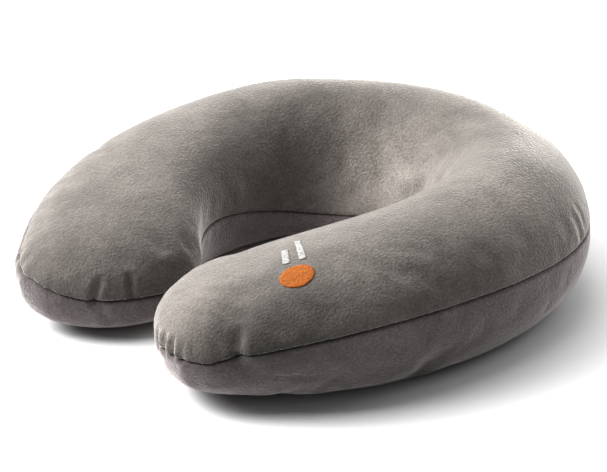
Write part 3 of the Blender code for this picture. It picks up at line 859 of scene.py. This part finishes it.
def ease_to_ground(mesh):
    """Nothing goes under the floor, and the belly lies flat on it."""
    points = points_of(mesh)
    points[:, 2] = np.maximum(points[:, 2], 0.0)
    put_points(mesh, points)


press_folds(skin.data, FOLDS)
ease_to_ground(skin.data)

# %% [markdown]
# ## Cutting the two panels and rolling their edges in
# The seam rises and falls round the U, so it isn't flat. The trick is to shift every point by
# the seam's height where it stands, which makes the seam level, cut there with a flat plane, and
# shift everything back. More cuts close to the edge give rows of points that follow the seam.
# Those rows roll inwards, as cloth does towards a stitch line, and the very edge is folded in.
# Along the zip the same steps leave a slot with a folded edge above and below the coils.

# %% Cover panels
COVER_THICKNESS = 0.0018
ROLL_ROWS = (0.0004, 0.0008, 0.0013, 0.0019)
ROLL_RADIUS = 0.0020
FOLD_IN = 0.0026
SNAP = 0.00045
ROW_SNAP = 0.3 * SNAP
PUCKERS = ((0.35, 260), (0.25, 90))  # strength, and waves to the metre
SEAM_SHADE = 0.003  # painted shade of the seam's groove darkens the pile this near to the seam
PAINTED_LIGHT_AND_SHADE = (  # patches of painted light and painted shade: centre in mm, reach in mm, how much paler, below 0 darker
    ((-16, 65, 38), 28, 1.7),
    ((-36, 57, 24), 20, 1.3),
    ((18, 66, 62), 26, 0.5),
    ((59, -148, 46), 24, 0.6),
    ((55, -124, 57), 24, 0.3),
    ((108, -112, 54), 26, -0.45),
    ((92, -138, 43), 18, -0.62),
    ((125, 32, 77), 34, 0.70),
    ((82, 110, 76), 24, -0.45),
    ((-14, -112, 52), 26, -0.28),
)


def snapped_cut(bm, height, clear):
    """Moves points that are nearly at this height onto it, then cuts there."""
    reach = SNAP if clear else ROW_SNAP
    for vert in bm.verts:
        if abs(vert.co.z - height) < reach:
            vert.co.z = height
    everything = [*bm.verts, *bm.edges, *bm.faces]
    bmesh.ops.bisect_plane(
        bm, geom=everything, dist=1e-6, plane_co=(0, 0, height), plane_no=(0, 0, 1), clear_inner=clear
    )


def levelled(bm, flip, back=False, slot=True):
    """Shifts points so that the panel's edge is level at 0 with the panel above it, or back again."""
    points = np.array([vert.co for vert in bm.verts])
    places = places_of(points)
    edges = places.edge if slot else np.full(len(points), SEAM_GAP)
    for vert, seam, edge in zip(bm.verts, places.seam, edges):
        vert.co.z = seam + flip * (vert.co.z + edge) if back else flip * (vert.co.z - seam) - edge


def paint_seam_shade(mesh, flip):
    """Mask of painted seam shade, as an attribute: 1 at the panel's edge, 0 a few millimetres away."""
    points = points_of(mesh)
    places = places_of(points)
    height = flip * (points[:, 2] - places.seam) - places.edge
    attribute = mesh.attributes.new("painted_seam_shade", "FLOAT", "POINT")
    attribute.data.foreach_set("value", np.clip(1 - height / SEAM_SHADE, 0, 1).astype(np.float32))


def paint_light_and_shade(mesh):
    """Patches of painted light and shade, as an attribute: above 0 the velour is painted paler, below 0
    darker.
    """
    points = points_of(mesh)
    value = np.zeros(len(points))
    for centre, reach, strength in PAINTED_LIGHT_AND_SHADE:
        away = np.linalg.norm(points - np.array(centre) / 1000, axis=1) / (reach / 1000)
        value += strength * np.exp(-(away**2))
    attribute = mesh.attributes.new("light_and_shade_patches", "FLOAT", "POINT")
    attribute.data.foreach_set("value", value.astype(np.float32))


def cover_panel(name, flip, material):
    bm = bmesh.new()
    bm.from_mesh(skin.data)
    levelled(bm, flip)
    snapped_cut(bm, 0.0, True)
    for row in ROLL_ROWS:
        snapped_cut(bm, row, False)
    heights = [vert.co.z for vert in bm.verts]
    levelled(bm, flip, back=True)
    places = places_of(np.array([vert.co for vert in bm.verts]))
    for vert, height, away in zip(bm.verts, heights, places.away):
        if height >= ROLL_RADIUS:
            continue
        pucker = 1 + sum(strength * noise.noise(vert.co * waves) for strength, waves in PUCKERS)
        inward = ROLL_RADIUS * (1 - (1 - (1 - max(height, 0.0) / ROLL_RADIUS) ** 2) ** 0.5) * pucker
        vert.co.x -= away[0] * inward
        vert.co.y -= away[1] * inward
    rim = [edge for edge in bm.edges if edge.is_boundary]
    grown = bmesh.ops.extrude_edge_only(bm, edges=rim)
    turned_in = [item for item in grown["geom"] if isinstance(item, bmesh.types.BMVert)]
    inwards = places_of(np.array([vert.co for vert in turned_in])).away
    for vert, away in zip(turned_in, inwards):
        vert.co.x -= away[0] * FOLD_IN
        vert.co.y -= away[1] * FOLD_IN
    bmesh.ops.recalc_face_normals(bm, faces=bm.faces)
    if sum(face.normal.z * face.calc_area() for face in bm.faces) * flip < 0:
        bmesh.ops.reverse_faces(bm, faces=bm.faces)
    mesh = mesh_of(name, bm)
    paint_seam_shade(mesh, flip)
    paint_light_and_shade(mesh)
    mesh.shade_smooth()
    panel = new_object(name, mesh)
    wall = panel.modifiers.new("Cloth thickness", "SOLIDIFY")
    wall.thickness = COVER_THICKNESS
    wall.offset = -1
    bake(panel)
    panel.data.materials.clear()
    panel.data.materials.append(material)
    print(name, "has", len(panel.data.polygons), "faces")
    return panel


upper_panel = cover_panel("plush_upper_panel", 1, PLUSH_UPPER)
lower_panel = cover_panel("plush_lower_panel", -1, PLUSH_LOWER)
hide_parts("cover_top_panel")
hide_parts("cover_bottom_panel")
for panel in (upper_panel, lower_panel):
    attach(panel, "pillow")
bpy.data.objects.remove(skin)

# %% [markdown]
# ## Liner and foam core
# Inside the cover is a knitted liner of two sewn panels, and inside that the moulded foam. They
# are the same form, drawn further in. Nobody sees them until the zip is open, so they are wrapped
# from the same grid and not stuffed by simulation.

# %% Liner and core
LINER_INSET = 0.0072
LINER_THICKNESS = 0.0008
CORE_INSET = 0.0086


def moulded_core(name):
    mesh = mesh_of(name, pillow_skin(CORE_INSET))
    mesh.shade_smooth()
    mesh.materials.append(FOAM)
    return new_object(name, mesh)


def liner_panel(name, flip):
    bm = pillow_skin(LINER_INSET)
    levelled(bm, flip, slot=False)
    snapped_cut(bm, 0.0, True)
    levelled(bm, flip, back=True, slot=False)
    mesh = mesh_of(name, bm)
    mesh.shade_smooth()
    panel = new_object(name, mesh)
    wall = panel.modifiers.new("Cloth thickness", "SOLIDIFY")
    wall.thickness = LINER_THICKNESS
    wall.offset = -1
    bake(panel)
    panel.data.materials.append(KNIT)
    return panel


core = moulded_core("moulded_core")
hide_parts("foam_core")
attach(core, "pillow")
for name, flip, node in (
    ("liner_upper", 1, "liner_top_panel"),
    ("liner_lower", -1, "liner_bottom_panel"),
):
    liner = liner_panel(name, flip)
    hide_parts(node)
    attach(liner, "pillow")
print("core and liner faces:", len(core.data.polygons), len(liner.data.polygons))

# %% [markdown]
# ## Zip coils
# A coil zip has no separate teeth. One nylon thread is wound and pressed so that each turn ends
# in a rounded head, and the heads of one coil slip between the heads of the other. One turn is
# modelled as a bent rod: a round wire run out, turned about by a spin, and run back. It is then
# copied along the tape with a rotation about the middle of the zip's circle.

# %% Zip coils
TEETH = 130
WIRE_RADIUS = 0.00031
COIL_RADIUS = 0.1480  # middle of the coil, from the middle of the circle
COIL_HALF_DEPTH = 0.00047
COIL_ROOT = 0.0027
HEAD_PAST_MIDDLE = 0.00025
COIL_HALF_ANGLE = radians(34.0)
CORD_RADIUS = 0.00045  # of the cord that runs through the turns


def one_turn():
    """A turn of the coil at the back of the circle, its head down."""
    bm = bmesh.new()
    rod = bmesh.ops.create_circle(bm, segments=6, radius=WIRE_RADIUS)["verts"]
    bmesh.ops.translate(bm, verts=rod, vec=(0, COIL_RADIUS - COIL_HALF_DEPTH, COIL_ROOT))
    ring = list(bm.edges)
    grown = bmesh.ops.extrude_edge_only(bm, edges=ring)["geom"]
    verts = [item for item in grown if isinstance(item, bmesh.types.BMVert)]
    drop = COIL_ROOT - COIL_HALF_DEPTH + HEAD_PAST_MIDDLE
    bmesh.ops.translate(bm, verts=verts, vec=(0, 0, -drop))
    bend = [item for item in grown if isinstance(item, bmesh.types.BMEdge)]
    head = bmesh.ops.spin(
        bm, geom=verts + bend, cent=(0, COIL_RADIUS, COIL_ROOT - drop), axis=(1, 0, 0), angle=pi, steps=5
    )["geom_last"]
    last = [item for item in head if isinstance(item, bmesh.types.BMEdge)]
    run = bmesh.ops.extrude_edge_only(bm, edges=last)["geom"]
    bmesh.ops.translate(
        bm, verts=[item for item in run if isinstance(item, bmesh.types.BMVert)], vec=(0, 0, drop)
    )
    bmesh.ops.holes_fill(bm, edges=[edge for edge in bm.edges if edge.is_boundary], sides=8)
    return bm


def zip_coil(name, flip, phase):
    bm = one_turn()
    first = [*bm.verts, *bm.edges, *bm.faces]
    step = 2 * COIL_HALF_ANGLE / TEETH
    for tooth in range(1, TEETH):
        copied = bmesh.ops.duplicate(bm, geom=first)["geom"]
        verts = [item for item in copied if isinstance(item, bmesh.types.BMVert)]
        bmesh.ops.rotate(bm, verts=verts, cent=(0, 0, 0), matrix=Matrix.Rotation(-step * tooth, 3, "Z"))
    cord_start = bmesh.ops.create_circle(bm, segments=6, radius=CORD_RADIUS, cap_ends=True)["verts"]
    bmesh.ops.rotate(bm, verts=cord_start, cent=(0, 0, 0), matrix=Matrix.Rotation(pi / 2, 3, "Y"))
    bmesh.ops.translate(bm, verts=cord_start, vec=(0, COIL_RADIUS, COIL_ROOT))
    cord = list({edge for vert in cord_start for edge in vert.link_edges})
    bmesh.ops.spin(
        bm, geom=cord_start + cord, cent=(0, 0, 0), axis=(0, 0, -1),
        angle=step * (TEETH - 1), steps=70,
    )
    turn = COIL_HALF_ANGLE - step * (0.5 + phase)
    bmesh.ops.rotate(bm, verts=bm.verts, cent=(0, 0, 0), matrix=Matrix.Rotation(turn, 3, "Z"))
    bmesh.ops.scale(bm, verts=bm.verts, vec=(1, 1, flip))
    bmesh.ops.translate(bm, verts=bm.verts, vec=RING_CENTRE)
    bmesh.ops.recalc_face_normals(bm, faces=bm.faces)
    mesh = mesh_of(name, bm)
    mesh.shade_smooth()
    mesh.materials.append(NYLON)
    return new_object(name, mesh)


for name, flip, phase in (("coil_upper", 1, 0.25), ("coil_lower", -1, -0.25)):
    coil = zip_coil(name, flip, phase)
    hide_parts("zip_" + name)
    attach(coil, "pillow")
print("turns in each coil:", TEETH, "faces", len(coil.data.polygons))

# %% [markdown]
# ## Slider, pull, stops and tapes
# The measured shapes are right but their edges are knife-sharp. Cast zip parts are tumbled
# smooth, so each is copied, its loose triangles are merged back into plain faces, and every
# sharp edge is bevelled by a fraction of a millimetre. The tapes keep their shape.

# %% Metal parts
SHARP_EDGE = radians(30)
CREASE = radians(50)


def tumbled(node, name, radius):
    """A copy of a measured metal part with rounded edges."""
    bm = bmesh.new()
    bm.from_mesh(nodes[node].data)
    bmesh.ops.remove_doubles(bm, verts=bm.verts, dist=1e-6)
    bmesh.ops.dissolve_limit(bm, angle_limit=radians(3), verts=bm.verts, edges=bm.edges)
    closed = [edge for edge in bm.edges if len(edge.link_faces) == 2]
    sharp = [edge for edge in closed if edge.calc_face_angle() > SHARP_EDGE]
    bmesh.ops.bevel(
        bm, geom=sharp, affect="EDGES", offset=radius, segments=2, profile=0.5, material=-1,
        clamp_overlap=True,
    )
    bmesh.ops.recalc_face_normals(bm, faces=bm.faces)
    mesh = mesh_of(name, bm)
    mesh.shade_smooth()
    mesh.set_sharp_from_angle(angle=CREASE)
    mesh.materials.append(METAL)
    obj = new_object(name, mesh)
    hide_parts(node)
    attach(obj, frame["nodes"][node]["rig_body"])
    return obj


metal_parts = [
    tumbled("zip_slider", "slider_body", 0.00018),
    tumbled("zip_pull", "pull_tab", 0.00022),
    tumbled("zip_top_stop_upper", "top_stop_upper", 0.00012),
    tumbled("zip_top_stop_lower", "top_stop_lower", 0.00012),
    tumbled("zip_bottom_stop", "bottom_stop", 0.00012),
]
for node in ("zip_tape_upper", "zip_tape_lower"):
    nodes[node].data.materials.clear()
    nodes[node].data.materials.append(TAPE)
print("metal parts:", [part.name for part in metal_parts])

# %% [markdown]
# ## The printed mark
# A plain disc and two bars are printed across the crown of one arm. Ink has no thickness to
# speak of, so each shape is drawn flat, laid out in distance along the arm and across it, dropped
# onto the stuffed cloth from above, and given a film's thickness.

# %% Printed mark
FILM = 0.00025
FILM_LIFT = 0.00012
DISC_RADIUS = 0.008
DISC_ALONG = 0.036
DISC_OUT = 0.021
BAR_WIDTH = 0.0036
BAR_LENGTHS = (0.024, 0.016)
BAR_GAP = 0.0045
BAR_CORNER = 0.0007
DROP_FROM = 0.2  # height that shapes are dropped from
graph = bpy.context.evaluated_depsgraph_get()
plush_tree = BVHTree.FromObject(upper_panel, graph)


def lay_on_plush(name, bm, along, out, material, node):
    """Drops a flat shape, drawn in (along, out), onto the upper panel."""
    for vert in bm.verts:
        base, across = mid_point(MID_LENGTH - (along + vert.co.x))
        place = base + across * (out + vert.co.y)
        above = Vector((place.x, place.y + CENTRE_Y, DROP_FROM))
        found, normal, _, _ = plush_tree.ray_cast(above, Vector((0, 0, -1)))
        vert.co = found + normal * FILM_LIFT
    bmesh.ops.recalc_face_normals(bm, faces=bm.faces)
    if sum(face.normal.z for face in bm.faces) < 0:
        bmesh.ops.reverse_faces(bm, faces=bm.faces)
    mesh = mesh_of(name, bm)
    mesh.shade_smooth()
    obj = new_object(name, mesh)
    film = obj.modifiers.new("Ink film", "SOLIDIFY")
    film.thickness = FILM
    film.offset = 1
    bake(obj)
    obj.data.materials.append(material)
    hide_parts(node)
    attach(obj, "pillow")
    return obj


disc_bm = bmesh.new()
bmesh.ops.create_circle(disc_bm, cap_ends=True, cap_tris=True, segments=40, radius=DISC_RADIUS)
spokes = [edge for edge in disc_bm.edges if not edge.is_boundary]
bmesh.ops.subdivide_edges(disc_bm, edges=spokes, cuts=7, use_grid_fill=True)
disc = lay_on_plush("mark_disc", disc_bm, DISC_ALONG, DISC_OUT, ORANGE_INK, "print_disc")

bars_end = DISC_OUT - DISC_RADIUS - BAR_GAP
row_step = (BAR_GAP + BAR_WIDTH) / 2
for name, length, row, node in (
    ("mark_bar_long", BAR_LENGTHS[0], DISC_ALONG + row_step, "print_bar_long"),
    ("mark_bar_short", BAR_LENGTHS[1], DISC_ALONG - row_step, "print_bar_short"),
):
    bar_bm = bmesh.new()
    bmesh.ops.create_grid(bar_bm, x_segments=4, y_segments=24, size=0.5)
    corners = [vert for vert in bar_bm.verts if len(vert.link_edges) == 2]
    bmesh.ops.scale(bar_bm, verts=bar_bm.verts, vec=(BAR_WIDTH, length, 1))
    bmesh.ops.bevel(
        bar_bm, geom=corners, affect="VERTICES", offset=BAR_CORNER, segments=3, profile=0.5, material=-1
    )
    bar = lay_on_plush(name, bar_bm, row, bars_end - length / 2, WHITE_INK, node)
print("printed pieces: 3")
